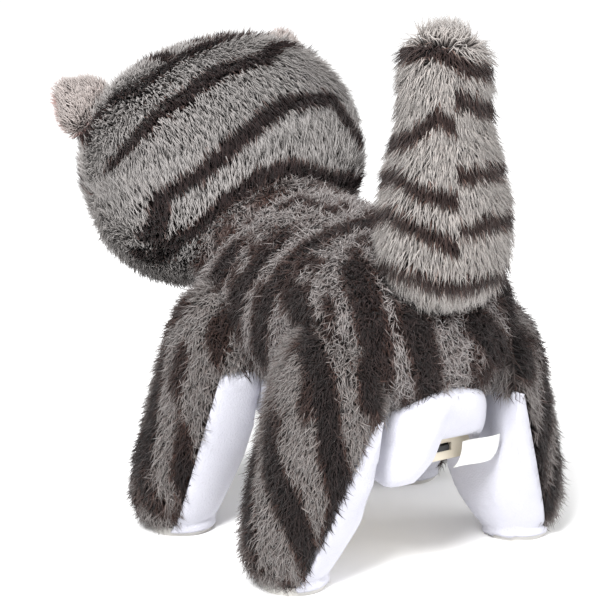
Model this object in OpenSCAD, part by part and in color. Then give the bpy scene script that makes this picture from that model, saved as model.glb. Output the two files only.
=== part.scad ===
// Walking plush kitten: a striped plush skin over a battery-driven plastic chassis.
// The cat faces -Y, its left side is +X, and it stands on four soles at Z = 0.

/* [Trunk] */
// Width of the plush trunk
trunk_w = 86; // [78:1:104]
// Height of the plush trunk
trunk_h = 68; // [62:1:82]
// Height of the belly above the floor
belly_z = 50; // [46:1:60]
// Distance from the front hips to the rear hips
wheelbase = 72; // [70:1:88]
// How far the chest runs ahead of the front hips
chest_reach = 22; // [18:1:28]
// How far the rump runs behind the rear hips
rump_reach = 30; // [26:1:38]

/* [Head] */
// Width of the plush head
head_w = 106; // [98:1:128]
// Depth and height of the plush head
head_d = 90; // [80:1:96]
// Distance of the head centre ahead of the front hips
head_reach = 52; // [50:1:64]
// Height of the head centre above the floor
head_z = 122; // [120:1:136]
// Nose-down pitch of the head
head_pitch = 20; // [0:1:30]
// Turn of the head about its neck post
head_turn = 14; // [-15:1:15]
// Thickness of the plush over the wadding
plush_t = 10; // [7:0.5:12]
// Radius of the moulded head shell
head_shell_r = 30; // [26:1:32]
// Diameter of an ear
ear_d = 27; // [20:1:32]
// Thickness of an ear
ear_t = 11; // [7:1:14]
// Diameter of an eye
eye_d = 12; // [8:0.5:15]

/* [Legs] */
// Distance of a rear foot centre from the middle
rear_foot_x = 48; // [46:1:58]
// Distance of a front foot centre from the middle
front_foot_x = 50; // [46:1:60]
// Radius of a rear leg at the hip
rear_hip_r = 28; // [24:1:30]
// Radius of a front leg at the shoulder
front_hip_r = 24; // [20:1:26]
// Radius of a foot
foot_r = 17; // [15:0.5:20]
// Height of the leg pivots above the floor
hip_z = 67; // [65:1:76]
// Thickness of a sole
sole_t = 3; // [2:0.5:4]

/* [Tail] */
// Length of the tail above its pivot
tail_len = 78.5; // [66:0.5:95]
// Radius of the tail's skirt at the root
tail_root_r = 23; // [19:0.5:26]
// Radius of the tail at its waist
tail_waist_r = 15.5; // [13.5:0.5:19]

/* [Chassis] */
// Height of the chassis box
chassis_h = 40; // [37:1:46]
// Outer half width of the chassis
chassis_half_w = 20; // [19.5:0.5:24]
// Wall of the chassis and the battery box
wall = 1.8; // [1.5:0.1:2.2]
// Diameter of an AA cell
cell_d = 14.5; // [13.5:0.1:14.7]
// Length of an AA cell
cell_len = 50.5; // [49:0.5:51]
// How far the battery box stands below the chassis
box_drop = 20; // [19:0.5:22]

/* [Drive] */
// Gear module
gear_m = 0.6; // [0.5:0.05:0.62]
// Teeth on each wheel
wheel_teeth = 40; // [36:4:40]
// Teeth on each pinion
pinion_teeth = 10; // [10:2:12]
// Width of a wheel's teeth
wheel_w = 3; // [2:0.1:3.2]
// Diameter of the motor can
motor_d = 20; // [16:0.5:20.5]
// Length of the motor can
motor_len = 25; // [20:0.5:25.5]
// Throw of the crank pins
crank_throw = 4; // [3:0.1:4.5]
// Thickness of a leg lever
lever_t = 2.4; // [2:0.1:2.6]

/* [Clearances] */
// Gap round a turning pin
run_gap = 0.05; // [0.03:0.01:0.08]
// Gap between plain moving faces
face_gap = 0.4; // [0.3:0.05:0.6]
// Gap round a plush piece that moves
plush_gap = 1.2; // [0.8:0.1:2]
// Backlash of the gears
backlash = 0.14; // [0.1:0.01:0.2]

/* [Hidden] */
$fn = 48;
eps = 0.02;
far = 300;

// Trunk
front_hip_y = -7;
rear_hip_y = front_hip_y + wheelbase;
chest_y = front_hip_y - chest_reach;
rump_y = rear_hip_y + rump_reach;
trunk_z = belly_z + trunk_h / 2;
rear_r = trunk_h / 2;
front_r = rear_r - 3;
trunk_dx = trunk_w / 2 - rear_r;

// Head
head_c = [0, front_hip_y - head_reach, head_z];
cup_r = head_w / 2 + plush_gap;
neck_dir = [0, 0.8, -0.6];
neck_dist = cup_r + 2.6;
muzzle_drop = 17;
muzzle_w = 38;
muzzle_r = 12;
eye_x = 20;
eye_z = 7;
neck_hole_r = 17;
neck_wall = 14;

// Where the plane across the neck post's foot crosses a height
function neck_plane_y(z) = head_c[1] + (neck_dist - 0.6 * (head_z - z)) / 0.8;

// Chassis
chassis_z0 = belly_z + 8;
chassis_z1 = chassis_z0 + chassis_h;
chassis_front_h = 6;
chassis_y0 = max(front_hip_y - 14, neck_plane_y(chassis_z0 + chassis_front_h));
chassis_y1 = rear_hip_y + 8;
axis_z = chassis_z0 + chassis_h / 2 + 0.5;
inner_w = chassis_half_w - wall;
neck_face_y = neck_plane_y(chassis_z1);
neck_face_z = head_z - (neck_dist - 0.8 * (chassis_y0 - head_c[1])) / 0.6;

// Planes of the side mechanism, outwards from the chassis wall
crank_x0 = chassis_half_w + 0.5;
crank_x1 = crank_x0 + 1.8;
lever_x0 = crank_x1 + 0.7;
lever_x1 = lever_x0 + lever_t;
rod_x0 = lever_x1 + face_gap;
rod_x1 = rod_x0 + 1.6;
stud_x1 = rod_x1 + 0.2;
bay_x = stud_x1 + 0.6;
leg_in_x = bay_x + face_gap;

// Drive train, all axes level with the chassis split
centre_d = gear_m * (wheel_teeth + pinion_teeth) / 2;
crank_y = rear_hip_y - 16;
second_y = crank_y - centre_d;
first_y = second_y - centre_d;
motor_y = first_y - centre_d;
plane_crank = 2.5;
plane_second = plane_crank + wheel_w + 1;
plane_first = plane_second + wheel_w + 1;
axle_r = 1.5;
shaft_r = 1.9;
motor_flat = 0.755 * motor_d;
tie_arm = 12;
crank_pin_r = 1.2;
stud_r = 2.5;
hub_r = 6.5;
slot_dir = atan2(axis_z - hip_z, crank_y - rear_hip_y);
slot_dist = norm([axis_z - hip_z, crank_y - rear_hip_y]);

speaker_r = 9.8;
speaker_y = chassis_y0 + wall + 0.4 + speaker_r;

// Battery box
bay_half = cell_d + 0.5;
box_half = bay_half + 4;
box_z0 = chassis_z0 - box_drop;
box_floor = 2.4;
box_y1 = chassis_y1 + 2.5;
switch_room = 9;
part_y = box_y1 - wall - switch_room;
bay_y1 = part_y - wall;
spring_len = 6;
plate_t = 0.5;
bay_y0 = bay_y1 - cell_len - spring_len - 2 * plate_t;
box_y0 = bay_y0 - wall;
cell_z = box_z0 + box_floor + cell_d / 2 + 0.6;
door_t = 1.8;
door_gap = 0.3;
hinge_x = bay_half + 1.8;
hinge_z = box_z0 + door_t / 2 + 0.3;
hinge_r = 0.7;
door_inset = 3;
door_y0 = bay_y0 + door_inset;
door_y1 = bay_y1 - door_inset;
ear_y = (door_y0 + door_y1) / 2;
screw_x = -(bay_half + 2);
switch_x = -7;
switch_z = box_z0 + 4.6;
knob_travel = 1.4;
knob_half = 2.4;
knob_stop = 0.2;
slot_half = knob_half + knob_travel + knob_stop;
ear_half = 4;
ear_reach = 1.7;
rib_half = 0.5;
rib_len = 12;
rib_step = 3;

// Belly
panel_z0 = belly_z - 4;
panel_z1 = chassis_z0 - 1;
panel_y0 = front_hip_y - 13;
panel_y1 = box_y1 + 8.5;

// Care label
label_r = 14;
label_w = 16;
label_t = 0.4;
label_drop = 11;

// Wadding, neck and lid screws
trunk_wad_z = trunk_z + rear_r - plush_t;
tail_wad_z = 0.25 * tail_len;
swivel_t = 16;
screw_spots = [[14, chassis_y1 - 5.5], [-14, chassis_y1 - 5.5],
    [inner_w - 2.4, (first_y + second_y) / 2], [-inner_w + 2.4, (first_y + second_y) / 2]];

// Tail
tail_back = 12;
tail_rise = sqrt(pow(tail_root_r + plush_gap + 0.4, 2) - pow(tail_back, 2));
tail_c = [0, chassis_y1 + tail_back, chassis_z1 + tail_rise];
bracket_half = 4;
bracket_z0 = chassis_z1 - 12;

// Legs
foot_z = foot_r - 1.5;
rear_hip_x = 28;
front_hip_x = 32;

// ---------- shared shapes ----------

// Round-ended barrel along X: half length a, radius b
module barrel(a, b) {
    for (s = [-1, 1]) translate([s * (a - b), 0, 0]) sphere(r = b);
    x_cylinder(b - a, a - b, 0, 0, b);
}

// Flat round pad about Z with a full round edge
module pad(r, t) {
    cylinder(r = r - t / 2, h = t, center = true);
    rotate_extrude() translate([r - t / 2, 0]) circle(r = t / 2);
}

// Straight round bar from p to q
module bar(p, q, r) {
    d = q - p;
    translate(p) rotate([0, atan2(norm([d[0], d[1]]), d[2]), atan2(d[1], d[0])])
        cylinder(r = r, h = norm(d));
}

// Cylinder along X from x0 to x1
module x_cylinder(x0, x1, y, z, r) {
    translate([x0, y, z]) rotate([0, 90, 0]) cylinder(r = r, h = x1 - x0);
}

// Box given by its low and high corners
module box(lo, hi) {
    translate(lo) cube(hi - lo);
}

// Places its children in the head's own frame, nose towards -Y
module on_head() {
    translate(head_c) rotate(a = head_turn, v = neck_dir) rotate([head_pitch, 0, 0]) children();
}

// Places its children along the neck post, +Z away from the head centre towards the chassis
module on_neck() {
    translate(head_c) rotate([atan2(-neck_dir[1], neck_dir[2]), 0, 0]) children();
}

// Mirrors its children to the right side when side is -1
module side_of(side) {
    mirror([side < 0 ? 1 : 0, 0, 0]) children();
}

// Tapered round leg with a hip ball at p (radius ra) and a foot ball at q (radius rb)
module leg_capsule(p, q, ra, rb) {
    d = q - p;
    len = norm(d);
    lean = asin((ra - rb) / len);
    steps = 10;
    hip_arc = [for (i = [0:steps]) let (t = -90 + (90 + lean) * i / steps)
        [ra * cos(t), ra * sin(t)]];
    foot_arc = [for (i = [0:steps]) let (t = lean + (90 - lean) * i / steps)
        [rb * cos(t), len + rb * sin(t)]];
    translate(p) rotate([0, atan2(norm([d[0], d[1]]), d[2]), atan2(d[1], d[0])])
        rotate_extrude() polygon(concat(hip_arc, foot_arc));
}

// ---------- gears ----------

// Involute function in degrees
function inv_deg(a) = tan(a) * 180 / PI - a;

// Half angle of a tooth at radius rho for a gear of n teeth
function tooth_half(n, rho) =
    let (r = gear_m * n / 2, rb = r * cos(20), a = acos(min(1, rb / max(rho, rb))))
    90 / n + inv_deg(20) - inv_deg(a) - backlash / 2 / r * 90 / PI;

// Outline of a gear with n teeth, one tooth centred on +X
module gear_outline(n, add) {
    r = gear_m * n / 2;
    root = r - 1.25 * gear_m;
    tip = r + add * gear_m;
    polygon([for (i = [0:n - 1]) let (c = 360 * i / n)
        each [for (k = [[root, -1], [r, -1], [tip, -1], [tip, 1], [r, 1], [root, 1]])
            let (a = c + k[1] * tooth_half(n, k[0])) [k[0] * cos(a), k[0] * sin(a)]]]);
}

// Spur gear about X from x0, w wide, at y; gap turns it by half a tooth
module gear_at(n, x0, w, y, gap, add = 0.9) {
    translate([x0, y, axis_z]) rotate([90, 0, 90]) rotate([0, 0, gap ? 180 / n : 0])
        linear_extrude(w) gear_outline(n, add);
}

// Compound gear: wheel at its own plane and a pinion on the side of the next wheel
module compound_gear(y, wheel_x) {
    difference() {
        union() {
            gear_at(wheel_teeth, wheel_x, wheel_w, y, true);
            gear_at(pinion_teeth, wheel_x - wheel_w - 1.3, wheel_w + 1.3, y, false);
        }
        x_cylinder(-far, far, y, axis_z, axle_r + run_gap);
    }
}

// ---------- plush trunk ----------

// Outer form of the trunk with the chest and nape
module trunk_form() {
    hull($fn = 32) {
        for (s = [-1, 1]) {
            translate([s * trunk_dx, rump_y - rear_r, trunk_z]) sphere(r = rear_r, $fn = 32);
            translate([s * trunk_dx, chest_y + front_r + 1, trunk_z - 1]) sphere(r = front_r, $fn = 32);
        }
        translate([0, front_hip_y - 2, trunk_z + 8]) sphere(r = front_r, $fn = 32);
    }
}

// Side pocket that a leg fills and swings in
module leg_pocket(y, r) {
    for (s = [-1, 1]) side_of(s) {
        x_cylinder(bay_x, far, y, hip_z, r + plush_gap);
        box([bay_x, y - r - plush_gap, -far], [far, y + r + plush_gap, hip_z]);
    }
}

module body_cover() {
    color("#6f6560") difference() {
        trunk_form();
        box([-bay_x, chassis_y0 - 0.5, chassis_z0 - 0.5], [bay_x, box_y1 + 0.5, chassis_z1 + 0.5]);
        box([-chassis_half_w, neck_face_y + 4, chassis_z1], [chassis_half_w, rear_hip_y - 4, trunk_wad_z]);
        leg_pocket(rear_hip_y, rear_hip_r);
        leg_pocket(front_hip_y, front_hip_r);
        translate(head_c) sphere(r = cup_r);
        translate(tail_c) sphere(r = tail_root_r + plush_gap);
        box([-bay_x, panel_y0 - 0.3, -far], [bay_x, panel_y1 + 0.3, chassis_z0]);
        box([-bracket_half - 0.3, chassis_y1 - 1, bracket_z0 - 0.3], [bracket_half + 0.3, tail_c[1], far]);
    }
}

module body_wadding() {
    color("ivory")
        box([-chassis_half_w + 0.4, neck_face_y + 4.4, chassis_z1 + 0.2],
            [chassis_half_w - 0.4, rear_hip_y - 4.4, trunk_wad_z - 0.4]);
}

module belly_panel() {
    color("whitesmoke") difference() {
        box([-bay_x + 0.3, panel_y0, panel_z0], [bay_x - 0.3, panel_y1, panel_z1]);
        box([-box_half - 0.3, box_y0 - 0.3, -far], [box_half + 0.3, box_y1 + 0.3, far]);
        for (s = [-1, 1], y = [front_hip_y, rear_hip_y]) side_of(s)
            box([box_half + 1, y - 11, -far], [far, y + 11, far]);
    }
}

// Woven label sewn under the rump, hanging in a shallow curl
module care_label() {
    color("white") translate([switch_x - 20, panel_y1 - 2 - label_r, panel_z0 - 0.1])
        rotate([90, 0, 90]) linear_extrude(label_w) intersection() {
            difference() {
                circle(r = label_r + label_t);
                circle(r = label_r);
            }
            translate([0, -label_drop]) square([2 * label_r, label_drop]);
        }
}

// ---------- head ----------

module head_form(shrink = 0) {
    barrel(head_w / 2 - shrink, head_d / 2 - shrink);
}

// Round bar that just holds the head's girth, for pieces that sit on it
module head_girth() {
    x_cylinder(-far, far, 0, 0, head_d / 2 + 0.1);
}

// Round hole for the neck post, open towards the trunk
module neck_opening() {
    on_neck() translate([0, 0, 8]) cylinder(r = neck_hole_r, h = far);
}

module head_cover() {
    color("#bcb3ae") difference() {
        on_head() head_form();
        on_head() head_form(plush_t);
        neck_opening();
        on_head() for (s = [-1, 1])
            translate([s * eye_x, 0, eye_z]) rotate([90, 0, 0]) cylinder(r = eye_d / 2 + 0.05, h = far);
    }
}

module head_wadding() {
    color("ivory") difference() {
        on_head() head_form(plush_t + 0.2);
        translate(head_c) sphere(r = head_shell_r + 0.2);
        neck_opening();
    }
}

module neck_cover() {
    color("#8a7f79") difference() {
        on_neck() rotate_extrude() intersection() {
            circle(r = head_w / 2);
            translate([neck_hole_r, head_d / 4]) square([neck_wall, head_w]);
        }
        on_head() head_girth();
    }
}

module head_shell() {
    color("white") difference() {
        union() {
            difference() {
                translate(head_c) sphere(r = head_shell_r);
                translate(head_c) sphere(r = head_shell_r - wall);
                neck_opening();
            }
            on_head() for (s = [-1, 1]) side_of(s)
                x_cylinder(7 + face_gap, head_shell_r - wall / 2, 0, 0, 5);
        }
        on_head() for (s = [-1, 1]) side_of(s) x_cylinder(0, 14 + face_gap, 0, 0, stud_r + run_gap);
    }
}

// Places its children where the muzzle seats on the head
module on_muzzle() {
    on_head() rotate([muzzle_drop, 0, 0]) translate([0, -head_d / 2 - 0.1, 0]) children();
}

// Whisker pads in one round pad
module muzzle_form(grow = 0) {
    translate([0, 3, 0]) barrel(muzzle_w / 2 + grow, muzzle_r + grow);
}

module muzzle() {
    color("white") on_muzzle() intersection() {
        muzzle_form();
        box([-far, -far, -far], [far, 0, far]);
    }
}

module nose() {
    color("#c98f8c") on_muzzle() difference() {
        translate([0, -muzzle_r + 5.5, 7]) sphere(r = 4);
        muzzle_form(0.1);
    }
}

// Domed plastic eye on a round shank
module eyes() {
    rim = 0.5 * head_d - 3;
    color("#20180f") on_head() for (s = [-1, 1]) translate([s * eye_x, -rim, eye_z]) rotate([90, 0, 0]) {
        translate([0, 0, 4 - plush_t]) cylinder(r = eye_d / 2, h = plush_t - 4);
        intersection() {
            translate([0, 0, -eye_d * 0.45]) sphere(r = eye_d * 0.75);
            cylinder(r = eye_d / 2, h = eye_d);
        }
    }
}

module ear(side) {
    color("#a39a95") on_head() side_of(side) difference() {
        translate([43, -12, 35]) rotate([0, 0, 20]) rotate([0, 35, 0]) rotate([90, 0, 0])
            pad(ear_d / 2, ear_t);
        head_form(-0.1);
    }
}

// ---------- tail ----------

// Profile of the tail above its root ball, shrunk for the wadding
function tail_profile(s) = [
    [tail_root_r - s, 0], [tail_root_r - 1.5 - s, 0.22 * tail_len],
    [tail_waist_r + 4 - s, 0.38 * tail_len], [tail_waist_r - s, 0.56 * tail_len],
    [tail_waist_r + 1 - s, 0.74 * tail_len],
    for (t = [0:15:90]) [(tail_waist_r + 1 - s) * cos(t),
        tail_len - tail_waist_r - 1 + (tail_waist_r + 1 - s) * sin(t)]];

module tail_form() {
    translate(tail_c) {
        rotate_extrude() polygon(concat([[0, 0]], tail_profile(0)));
        difference() {
            sphere(r = tail_root_r);
            translate([0, 0, far / 2]) cube(far, center = true);
        }
    }
}

module tail_core(s) {
    translate(tail_c) intersection() {
        rotate_extrude() polygon(concat([[0, 0]], tail_profile(s)));
        translate([0, 0, tail_wad_z + s - plush_t + far / 2]) cube(far, center = true);
    }
}

module tail_cover() {
    color("#b5aca6") difference() {
        tail_form();
        tail_core(plush_t);
        translate(tail_c) {
            sphere(r = 13);
            box([-12, -9, -far], [12, -2.5, 0]);
            cylinder(r = 2.6, h = tail_len / 2);
        }
    }
}

module tail_wadding() {
    color("ivory") difference() {
        tail_core(plush_t + 0.2);
        translate(tail_c) cylinder(r = 2.6, h = tail_len - 20);
    }
}

module tail_rod() {
    color("white") difference() {
        translate(tail_c) {
            rotate([-90, 0, 0]) translate([0, 0, -3]) cylinder(r = 5, h = 6);
            cylinder(r = 2.5, h = tail_len - 22);
        }
        translate(tail_c + [0, -far / 2, 0]) rotate([-90, 0, 0]) cylinder(r = 2 + run_gap, h = far);
    }
}

module tail_bracket() {
    color("white") {
        plate_y1 = tail_c[1] - 3 - face_gap;
        box([-bracket_half, plate_y1 - 3, bracket_z0], [bracket_half, plate_y1, tail_c[2] + 4]);
        box([-bracket_half, chassis_y1, bracket_z0], [bracket_half, plate_y1 - 3, bracket_z0 + 5]);
        translate([0, plate_y1, tail_c[2]]) rotate([-90, 0, 0]) cylinder(r = 2, h = 7.4);
        translate([0, tail_c[1] + 3 + face_gap, tail_c[2]]) rotate([-90, 0, 0]) cylinder(r = 3, h = 1);
    }
}

// ---------- chassis ----------

// Side outline of the chassis, inset by s, swept across the width
module chassis_form(s) {
    half = chassis_half_w - s;
    slope_in = s / 0.8 * 1.6;
    translate([-half, 0, 0]) rotate([90, 0, 90]) linear_extrude(2 * half)
        polygon([[chassis_y0 + s, chassis_z0 + s], [chassis_y1 - s, chassis_z0 + s],
            [chassis_y1 - s, chassis_z1 - s], [neck_face_y + slope_in * 0.75, chassis_z1 - s],
            [chassis_y0 + s, neck_face_z - slope_in * 0.75]]);
}

// Holes for the shafts, level with the split
module shaft_holes() {
    x_cylinder(-far, far, crank_y, axis_z, shaft_r + run_gap);
    for (y = [first_y, second_y]) x_cylinder(-chassis_half_w + 0.4, chassis_half_w - 0.4, y, axis_z, axle_r);
}

module chassis_base() {
    color("gainsboro") difference() {
        union() {
            difference() {
                chassis_form(0);
                chassis_form(wall);
            }
            for (p = screw_spots)
                translate([p[0], p[1], chassis_z0 + wall / 2]) cylinder(r = 2.2, h = axis_z - chassis_z0);
            for (x = [-inner_w + 3, 1]) box([x, speaker_y + speaker_r + 0.3, chassis_z0 + wall / 2],
                [x + 3, motor_y + 4, axis_z - motor_flat / 2]);
            for (s = [-1, 1], y = [front_hip_y, rear_hip_y]) side_of(s) {
                x_cylinder(chassis_half_w - wall / 2, lever_x0 - 0.2, y, hip_z, 4);
                x_cylinder(chassis_half_w - wall / 2, stud_x1 - 0.4, y, hip_z, stud_r);
            }
        }
        box([-far, -far, axis_z], [far, far, far]);
        shaft_holes();
        for (p = screw_spots) translate([p[0], p[1], axis_z - 12]) cylinder(r = 1.2, h = far);
        for (a = [0:60:300]) translate([6 * cos(a), speaker_y + 6 * sin(a), 0])
            cylinder(r = 1.2, h = chassis_z0 + wall + 1);
    }
}

module chassis_lid() {
    color("gainsboro") difference() {
        union() {
            difference() {
                chassis_form(0);
                chassis_form(wall);
            }
            for (p = screw_spots) {
                translate([p[0], p[1], axis_z]) cylinder(r = 2.2, h = chassis_z1 - axis_z - wall / 2);
                translate([p[0], p[1], chassis_z1 - 4]) cylinder(r = 3, h = 4 - wall / 2);
            }
        }
        box([-far, -far, -far], [far, far, axis_z]);
        shaft_holes();
        for (p = screw_spots) translate([p[0], p[1], 0]) {
            cylinder(r = 1.4, h = far);
            translate([0, 0, chassis_z1 - 1.7]) cylinder(r = 2.4, h = far);
        }
        on_neck() translate([0, 0, neck_dist - 2]) cylinder(r = 3, h = wall * 3);
    }
}

module chassis_screws() {
    color("silver") for (p = screw_spots) translate([p[0], p[1], 0]) {
        translate([0, 0, axis_z - 11.5]) cylinder(r = 1.2, h = chassis_z1 - 1.7 - axis_z + 11.5);
        difference() {
            translate([0, 0, chassis_z1 - 1.7]) cylinder(r = 2.3, h = 1.6);
            translate([0, 0, chassis_z1 - 0.9]) for (a = [0, 90]) rotate([0, 0, a])
                cube([3, 0.6, 1.7], center = true);
        }
    }
}

// ---------- neck ----------

module neck_post() {
    color("white") on_neck() {
        translate([0, 0, neck_dist - 2]) cylinder(r = 8, h = 2);
        translate([0, 0, swivel_t]) cylinder(r = 4.5, h = neck_dist - swivel_t);
        translate([0, 0, swivel_t - 8]) cylinder(r = 3, h = 9);
        translate([0, 0, neck_dist - eps]) cylinder(r = 2.9, h = 3);
    }
}

module neck_swivel() {
    color("white") difference() {
        union() {
            on_neck() translate([0, 0, -5]) cylinder(r = 7, h = swivel_t + 5 - face_gap);
            on_head() x_cylinder(-14, 14, 0, 0, stud_r);
        }
        on_neck() translate([0, 0, swivel_t - 8 - face_gap]) cylinder(r = 3 + run_gap, h = far);
    }
}

// ---------- power ----------

module battery_box() {
    color("#e9e2d3") difference() {
        box([-box_half, box_y0, box_z0], [box_half, box_y1, chassis_z0 - 0.1]);
        box([-bay_half, bay_y0, box_z0 + box_floor], [bay_half, bay_y1, chassis_z0 - wall]);
        box([-bay_half, part_y, box_z0 + box_floor], [bay_half, box_y1 - wall, chassis_z0 - wall]);
        box([-bay_half - door_gap, door_y0 - door_gap, -far],
            [hinge_x + 1.8, door_y1 + door_gap, box_z0 + box_floor]);
        box([screw_x - ear_reach - door_gap, ear_y - ear_half - door_gap, -far],
            [-bay_half, ear_y + ear_half + door_gap, box_z0 + box_floor]);
        translate([0, door_y0 - 2, 0]) translate([hinge_x, 0, hinge_z]) rotate([-90, 0, 0])
            cylinder(r = hinge_r + run_gap, h = door_y1 - door_y0 + 4);
        translate([screw_x, ear_y, box_z0]) cylinder(r = 0.9, h = 12);
        box([switch_x - slot_half, box_y1 - wall - 1, switch_z - 1.5],
            [switch_x + slot_half, far, switch_z + 1.5]);
    }
}

module battery_door() {
    color("#e9e2d3") difference() {
        union() {
            box([-bay_half, door_y0, hinge_z - door_t / 2], [hinge_x, door_y1, hinge_z + door_t / 2]);
            box([screw_x - ear_reach, ear_y - ear_half, hinge_z - door_t / 2],
                [-bay_half + 1, ear_y + ear_half, hinge_z + door_t / 2]);
            translate([hinge_x, door_y0, hinge_z]) rotate([-90, 0, 0])
                cylinder(r = door_t / 2, h = door_y1 - door_y0);
            translate([hinge_x, door_y0 - 1.8, hinge_z]) rotate([-90, 0, 0])
                cylinder(r = hinge_r, h = door_y1 - door_y0 + 3.6);
        }
        translate([screw_x, ear_y, 0]) cylinder(r = 1, h = far);
        translate([screw_x, ear_y, 0]) cylinder(r = 1.6, h = hinge_z - 0.1);
        for (k = [-3:3]) box([-rib_len / 2, ear_y + rib_step * k - rib_half, 0],
            [rib_len / 2, ear_y + rib_step * k + rib_half, hinge_z - door_t / 2 + 0.4]);
    }
}

module door_screw() {
    color("silver") translate([screw_x, ear_y, 0]) {
        translate([0, 0, hinge_z - 0.1]) cylinder(r = 0.85, h = 1.6);
        difference() {
            translate([0, 0, hinge_z - 0.9]) cylinder(r = 1.5, h = 0.8);
            for (a = [0, 90]) rotate([0, 0, a])
                translate([0, 0, hinge_z - 0.9]) cube([2, 0.4, 0.6], center = true);
        }
    }
}

module battery_cells() {
    color("#3c4a52") for (s = [-1, 1]) translate([s * (bay_half / 2), 0, cell_z]) {
        cap = 1.5;
        y0 = s > 0 ? bay_y0 + plate_t : bay_y1 - plate_t - cell_len;
        translate([0, s > 0 ? y0 + cap : y0, 0]) rotate([-90, 0, 0])
            cylinder(r = cell_d / 2, h = cell_len - cap);
        translate([0, s > 0 ? y0 : y0 + cell_len - cap, 0]) rotate([-90, 0, 0]) cylinder(r = 2.7, h = cap);
    }
}

module battery_contacts() {
    color("silver") for (s = [-1, 1]) {
        x = s * bay_half / 2;
        flat_y = s > 0 ? bay_y0 : bay_y1 - plate_t;
        coil_y = s > 0 ? bay_y1 - plate_t : bay_y0;
        for (y = [flat_y, coil_y])
            box([x - 5, y, cell_z - 5.5], [x + 5, y + plate_t, cell_z + 6]);
        start = s > 0 ? bay_y1 - plate_t - spring_len : bay_y0 + plate_t;
        for (k = [0:4]) translate([x, start + 0.5 + k * (spring_len - 1) / 4, cell_z]) rotate([-90, 0, 0])
            rotate_extrude() translate([3.6, 0]) circle(r = 0.45);
        translate([x + 3.6, start + 0.5, cell_z]) rotate([-90, 0, 0])
            cylinder(r = 0.4, h = spring_len - 0.5);
    }
}

module switch_body() {
    color("dimgray") difference() {
        box([switch_x - slot_half - 2, box_y1 - wall - 5, switch_z - 2.1],
            [switch_x + slot_half + 2, box_y1 - wall - 0.1, switch_z + 3]);
        box([switch_x - slot_half, box_y1 - wall - 2, switch_z - 1.3],
            [switch_x + slot_half, far, switch_z + 1.3]);
    }
}

module switch_knob() {
    color("black") box([switch_x - knob_half, box_y1 - wall - 1.6, switch_z - 1],
        [switch_x + knob_half, box_y1 + 1, switch_z + 1]);
}

// ---------- drive ----------

module motor() {
    x1 = plane_first - 0.4 - 2;
    x0 = max(x1 - motor_len, -inner_w + 0.2);
    color("silver") difference() {
        union() {
            intersection() {
                x_cylinder(x0, x1, motor_y, axis_z, motor_d / 2);
                box([-far, -far, axis_z - motor_flat / 2], [far, far, axis_z + motor_flat / 2]);
            }
            x_cylinder(x1, x1 + 1.4, motor_y, axis_z, 3);
        }
        x_cylinder(x1 - 6, far, motor_y, axis_z, 1 + run_gap);
    }
}

module motor_pinion() {
    x1 = plane_first - 0.4 - 2;
    color("gold") {
        gear_at(pinion_teeth, plane_first - 0.4, wheel_w + 0.8, motor_y, false);
        x_cylinder(x1 - 5.5, plane_first, motor_y, axis_z, 1);
    }
}

module first_gear() {
    color("white") compound_gear(first_y, plane_first);
}

module second_gear() {
    color("white") compound_gear(second_y, plane_second);
}

module gear_axles() {
    color("silver") for (y = [first_y, second_y])
        x_cylinder(-chassis_half_w + 0.4, chassis_half_w - 0.4, y, axis_z, axle_r);
}

module crank_shaft() {
    color("silver") x_cylinder(-crank_x0, crank_x0, crank_y, axis_z, shaft_r);
}

module crank_gear() {
    color("white") difference() {
        gear_at(wheel_teeth, plane_crank, wheel_w, crank_y, true);
        x_cylinder(-far, far, crank_y, axis_z, shaft_r);
    }
}

// Crank discs, with the two pins on opposite sides of the shaft
module crank_discs() {
    color("white") for (s = [-1, 1]) side_of(s) {
        x_cylinder(crank_x0, crank_x1, crank_y, axis_z, crank_throw + 3);
        x_cylinder(crank_x0, crank_x1 + 0.35, crank_y + s * crank_throw * cos(slot_dir),
            axis_z + s * crank_throw * sin(slot_dir), crank_pin_r);
    }
}

module circuit_board() {
    top = chassis_z1 - wall - 0.6;
    color("seagreen") {
        box([-12, second_y - 12, top - 1.6], [plane_crank - 4.6, crank_y + 10, top]);
        box([-11, second_y - 6, top - 3.6], [-4, second_y + 4, top - 1.6]);
        translate([-8, crank_y, top - 6.6]) cylinder(r = 2.5, h = 5.01);
    }
}

module speaker() {
    color("dimgray") translate([0, speaker_y, chassis_z0 + wall]) {
        cylinder(r = speaker_r, h = 2);
        cylinder(r = 0.6 * speaker_r, h = 5);
    }
}

// ---------- legs ----------

// A push-on ring on each pivot stud
module lever_retainers() {
    color("silver") for (s = [-1, 1], y = [front_hip_y, rear_hip_y]) side_of(s) difference() {
        x_cylinder(lever_x1 + 0.2, lever_x1 + 1, y, hip_z, 4.4);
        x_cylinder(-far, far, y, hip_z, stud_r);
    }
}

// Flat bar in the lever plane from one point to another, w wide
module lever_arm(y, z, len, angle, w) {
    translate([lever_x0, y, z]) rotate([90, 0, 90]) rotate([0, 0, angle]) {
        translate([0, -w / 2, 0]) cube([len, w, lever_t]);
        translate([len, 0, 0]) cylinder(r = w / 2, h = lever_t);
    }
}

// Start of the strut that runs down inside a leg
function strut_top(y) = [lever_x0 + 2.6, y, hip_z - 11];

// Strut and foot plate that carry a leg's plush
module strut(y, foot_x) {
    bar(strut_top(y), [foot_x, y, sole_t + 2.4], 3);
    translate([foot_x, y, sole_t]) cylinder(r = 9, h = 2.4);
}

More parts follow.
